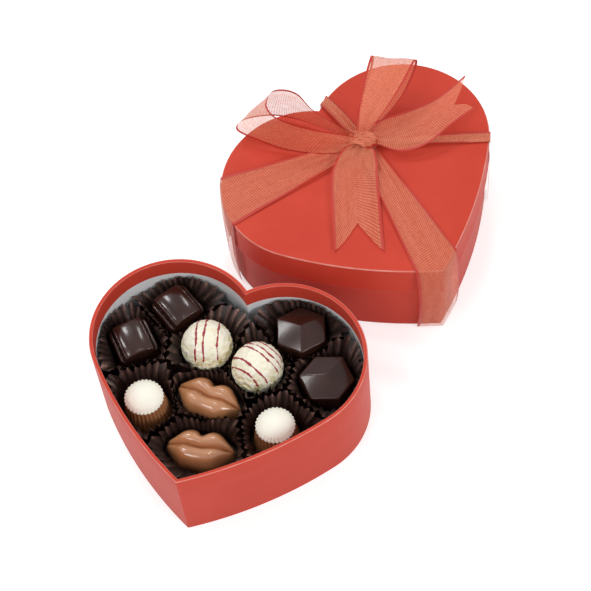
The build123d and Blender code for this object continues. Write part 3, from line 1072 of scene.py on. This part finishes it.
def praline(name, body):
    """Fluted body of milk chocolate under a domed ivory filling."""
    top = PRALINE_HEIGHT
    profile = [(0, 0, 0), (PRALINE_FOOT - 1.2, 0, 0.6)]
    for row in range(FLANK_ROWS + 1):
        share = row / FLANK_ROWS
        radius = PRALINE_FOOT + (PRALINE_NECK - PRALINE_FOOT) * share**0.9
        profile.append((radius, FLANK_LOW + (top - FLANK_LOW) * share, 1.0))
    profile.append((0, top, 0))
    piece = fluted(name, f"fluted_{name}", profile)
    finish_piece(piece, body, MILK_CHOCOLATE, "milk_chocolate", name)

    edge = PRALINE_NECK + 0.35
    dome = [
        (0, top + 0.05, 0), (edge - 0.4, top + 0.05, 0.5), (edge, top + 0.5, 0.6),
        (edge, top + 1.0, 0.6), (edge - 0.3, top + 1.35, 0.55),
    ]
    for row in range(1, DOME_ROWS + 1):
        share = 1 - row / DOME_ROWS
        radius = (edge - 0.5) * share
        swirl = SWIRL_DEPTH * math.cos(2 * math.pi * radius / SWIRL_WIDTH)
        z = top + DOME_LOW + (CAP_RISE - DOME_LOW) * (1 - share**2) ** 0.8
        z += swirl * smooth_step(0, 0.2, share)
        dome.append((radius, z, 0.45 * smooth_step(0.72, 1.0, share)))
    piece = fluted(name, f"filling_of_{name}", dome)
    solid = name.replace("praline", "praline_cap")
    finish_piece(piece, body, WHITE_CHOCOLATE, "white_chocolate", solid)


def sweets():
    """Every chocolate, each on a body of its own."""
    makers = {
        "square": square, "facet": facet, "truffle": truffle, "lips": lips, "praline": praline,
    }
    for name in CHOCOLATES:
        kind, _ = name.split("_")
        makers[kind](name, f"sweet_{name}")


# Ribbon

def from_knot(heading, reach, offset):
    """Plan point at a reach from the knot along a heading, moved to the left by an offset."""
    return (KNOT_PLACE[0] + heading[0] * reach - heading[1] * offset,
            KNOT_PLACE[1] + heading[1] * reach + heading[0] * offset)


def ribbon_edge(heading, offset, grow):
    """How far from the knot a ribbon line at an offset meets the lid's outline."""
    reach = 5.0
    while inside_heart(*from_knot(heading, reach, offset(reach)), grow):
        reach += REACH_STEP
    return reach


def weave_scale(piece, length):
    """Makes the piece's UV map count centimetres of ribbon, so that the weave is even."""
    for corner_of in piece.data.uv_layers.active.data:
        corner_of.uv.x *= RIBBON_WIDTH / 10
        corner_of.uv.y *= length / 10


def ribbon_arm(name, node_name, turn, widths, layers, slack):
    """One arm of the ribbon, from the knot over the lid's edge and down its wall."""
    turn = math.radians(turn)
    heading = (math.cos(turn), math.sin(turn))
    start_width, end_width = widths
    grow = WRAP_OUTSIDE + RIBBON_LIFT
    down = LID_TOP + RIBBON_LIFT - ARM_FLOOR_GAP
    steps = ARM_STEPS * layers
    edges = {}

    def spread(u):
        """Folded share across the ribbon, and the layer that it lies in."""
        folded = u * layers
        layer = min(int(folded), layers - 1)
        share = folded - layer
        if layer % 2:
            share = 1 - share
        return share - 0.5, layer

    def place(u, v):
        share, layer = spread(u)
        key = round(u * steps)

        def offset(reach):
            widening = min(reach / ARM_SPREAD, ARM_SPREAD_MOST)
            return share * (start_width + (end_width - start_width) * widening)

        if key not in edges:
            edges[key] = ribbon_edge(heading, offset, grow)
        edge = edges[key]
        travelled = ARM_START + v * (edge + down - ARM_START)
        reach = min(travelled, edge)
        x, y = from_knot(heading, reach, offset(reach))
        drop = min(max(travelled - edge, 0), down)
        gather = (1 - smooth_step(*ARM_GATHER, reach)) * (1 - smooth_step(0, ARM_EDGE, drop))
        fold = gather * (ARM_PLEAT * math.cos(2 * math.pi * RIBBON_PLEATS * u) + ARM_PLEAT)
        near_edge = smooth_step(edge - ARM_EASE_END, edge, reach)
        ease = smooth_step(*ARM_EASE, reach) * (1 - near_edge)
        wave = 2 * u + reach / ARM_EASE_WAVE
        fold += ease * ARM_EASE_LIFT * (1 - math.cos(2 * math.pi * wave))
        z = LID_TOP + RIBBON_LIFT + LAYER_GAP * layer + fold - drop
        hang = slack * math.sin(math.pi * drop / down) ** 0.8
        hang *= 1 + 0.35 * math.sin(2 * math.pi * u + 1)
        return on_lid(x + heading[0] * hang, y + heading[1] * hang, z)

    piece = shaped_grid(name, steps, ARM_ROWS, place)
    length = sum(edges.values()) / len(edges) + down - ARM_START
    weave_scale(piece, length)
    finish_piece(piece, "lid", ORGANZA, "organza", node_name)


def path_length(points):
    """Length of the smooth line through points."""
    line = [smooth_through(points, k / PATH_STEPS) for k in range(PATH_STEPS + 1)]
    return sum(math.dist(a, b) for a, b in zip(line, line[1:]))


def ribbon_between(name, node_name, first, second, cut):
    """Ribbon spanned between two edges from the knot, with an optional swallow-tail cut."""
    length = (path_length(first) + path_length(second)) / 2
    gathers_back = cut == 0

    def place(u, v):
        share = v * (1 - cut / length * (1 - abs(2 * u - 1)))
        edge, other = smooth_through(first, share), smooth_through(second, share)
        near = min(share, 1 - share) * length if gathers_back else share * length
        gather = 1 - smooth_step(0, LOOSE_GATHER, near)
        wave = 1.3 * u + share * length / LOOSE_WAVE
        x, y, z = [a + (b - a) * u for a, b in zip(edge, other)]
        z += gather * LOOSE_PLEAT * math.cos(2 * math.pi * RIBBON_PLEATS * u)
        z += (1 - gather) * LOOSE_WAVE_LIFT * math.sin(2 * math.pi * wave)
        return on_lid(x, y, LID_TOP + max(z, LOOSE_LOWEST))

    piece = shaped_grid(name, LOOSE_STEPS, LOOSE_ROWS, place)
    weave_scale(piece, length)
    finish_piece(piece, "lid", ORGANZA, "organza", node_name)


# Edges of the loose ribbon, in the lid's own axes, with heights over the lid
FRONT_TAIL = (
    [(5, 5.5, 4.6), (-5.5, 4.5, 5.4), (-15, -1, 4.3), (-20.8, -8.4, 3), (-31, -26, 1.8),
     (-42.5, -46, 1.3)],
    [(9, 2.5, 4.6), (9.5, -4.5, 5.4), (7, -12, 4), (2.5, -19.2, 2.6), (-8, -39, 1.6),
     (-19.4, -60.5, 1.3)],
)
RIGHT_TAIL = (
    [(11, 9, 7), (24, 9, 8), (39, 6, 8.5), (56, 2.5, 11), (75.8, 5.1, 14)],
    [(11, 0, 5.5), (21, -13, 5.5), (36, -18.5, 8), (52, -17, 11), (67, -16.6, 14)],
)
UPPER_LOOP = (
    [(6, 9, 6), (14, 20, 9), (24, 29, 14), (32.8, 36, 20), (34.5, 37, 26), (31, 33, 31),
     (22, 25, 27), (12, 15, 17), (7, 8, 7)],
    [(11, 6, 6), (26, 9, 9), (40, 13, 14), (52, 19.5, 20), (54, 20.5, 26), (50, 17.5, 31),
     (38, 11, 27), (24, 7, 17), (10, 5, 7)],
)
LEFT_LOOP = (
    [(4, 4, 3), (-9, 7, 2), (-27.5, 22.3, 1.8), (-40, 36.5, 4), (-48, 47, 8), (-41, 53, 6),
     (-24, 48, 2.5), (-9, 32, 2), (3, 10, 3)],
    [(6, 6, 7), (-10, 12, 18), (-25, 23.3, 24), (-31, 33, 24.5), (-30, 42.5, 25),
     (-22, 48, 24.5), (-12.6, 40, 24), (-8.4, 26.4, 19), (6, 7, 7)],
)


def knot():
    """Tight wrap of gathered ribbon round the middle of the bow."""
    def place(u, v):
        angle = 2 * math.pi * u
        across, up = math.cos(angle), math.sin(angle)
        bulge = math.sin(math.pi * (0.1 + 0.8 * v)) ** KNOT_BULGE_POWER
        crease = abs(math.sin(math.pi * (KNOT_PLEATS * v + 0.3 * across)))
        pleat = KNOT_PLEAT * (1 - 2 * crease) * bulge
        x = (KNOT_HALF_WIDTH * bulge + pleat) * across
        y = (v - 0.5) * KNOT_LENGTH + KNOT_LEAN * across
        z = LID_TOP + KNOT_MIDDLE + (KNOT_HALF_HEIGHT * bulge + pleat) * up
        heading = (math.cos(KNOT_TWIST), math.sin(KNOT_TWIST))
        return on_lid(*from_knot(heading, x, y), z)

    piece = shaped_grid("knot_wrap", KNOT_STEPS, KNOT_ROWS, place, closed=True)
    weave_scale(piece, KNOT_WEAVE)
    finish_piece(piece, "lid", KNOT_ORGANZA, "organza", "bow_knot")


def ribbon_and_bow():
    """Four arms over the lid, two tails, two loops and the knot."""
    ribbon_arm("ribbon_to_tip", "ribbon_arm_tip", turn=-95, widths=(9, 24), layers=1, slack=3.0)
    ribbon_arm("ribbon_to_notch", "ribbon_arm_notch", turn=94, widths=(6, 7), layers=3, slack=0.0)
    ribbon_arm("ribbon_to_left", "ribbon_arm_left", turn=173, widths=(6, 30), layers=1, slack=0.8)
    ribbon_arm("ribbon_to_right", "ribbon_arm_right", turn=-29, widths=(4, 7), layers=3, slack=0.0)
    ribbon_between("tail_front", "ribbon_tail_front", *FRONT_TAIL, cut=TAIL_CUT)
    ribbon_between("tail_right", "ribbon_tail_right", *RIGHT_TAIL, cut=TAIL_CUT)
    ribbon_between("bow_upper", "bow_loop_upper", *UPPER_LOOP, cut=0)
    ribbon_between("bow_left", "bow_loop_left", *LEFT_LOOP, cut=0)
    knot()


# Stage, light and camera

def stage():
    """Pale floor that glows a little to the eye."""
    start_clean()
    bpy.ops.mesh.primitive_plane_add(size=FLOOR_SIZE, location=(0, 0, FLOOR_LEVEL))
    floor = bpy.context.object
    floor.name = "floor"
    material, tree, shader = new_material("pale_floor")
    plug(tree, shader, {
        "Base Color": FLOOR_TONE,
        "Roughness": 0.9,
        "Specular IOR Level": 0.0,
        "Emission Color": WHITE,
        "Emission Strength": reckon(tree, "MULTIPLY", seen_directly(tree), FLOOR_GLOW),
    })
    floor.data.materials.append(material)


def world():
    """White surroundings that light less than they show."""
    made = bpy.data.worlds.new("studio")
    bpy.context.scene.world = made
    made.use_nodes = True
    tree = made.node_tree
    plug(tree, tree.nodes["Background"], {
        "Color": WHITE,
        "Strength": remap(tree, seen_directly(tree), AMBIENT_LIGHT, 1.0),
    })


def lamp(name, place, target, size, power):
    """Rectangular lamp that faces a target."""
    light = bpy.data.lights.new(name, "AREA")
    light.shape = "RECTANGLE"
    light.size, light.size_y = size
    light.energy = power
    made = bpy.data.objects.new(name, light)
    bpy.context.collection.objects.link(made)
    made.location = place
    made.rotation_euler = (Vector(target) - Vector(place)).to_track_quat("-Z", "Y").to_euler()


def camera():
    """The photograph's camera."""
    data = bpy.data.cameras.new("camera")
    made = bpy.data.objects.new("camera", data)
    bpy.context.collection.objects.link(made)
    made.location = CAMERA_PLACE
    made.rotation_euler = Euler([math.radians(turn) for turn in CAMERA_TURN], "XYZ")
    data.lens = CAMERA_LENS
    data.sensor_width = CAMERA_SENSOR
    data.clip_start = CAMERA_NEAR
    bpy.context.scene.camera = made


dress_solids()
base_wrap()
cap_wrap()
for number, sweet in enumerate(CHOCOLATES, 1):
    paper_cup(number, sweet)
sweets()
ribbon_and_bow()
stage()
world()
for settings in LAMPS:
    lamp(*settings)
camera()
bpy.context.scene.view_settings.view_transform = "Standard"
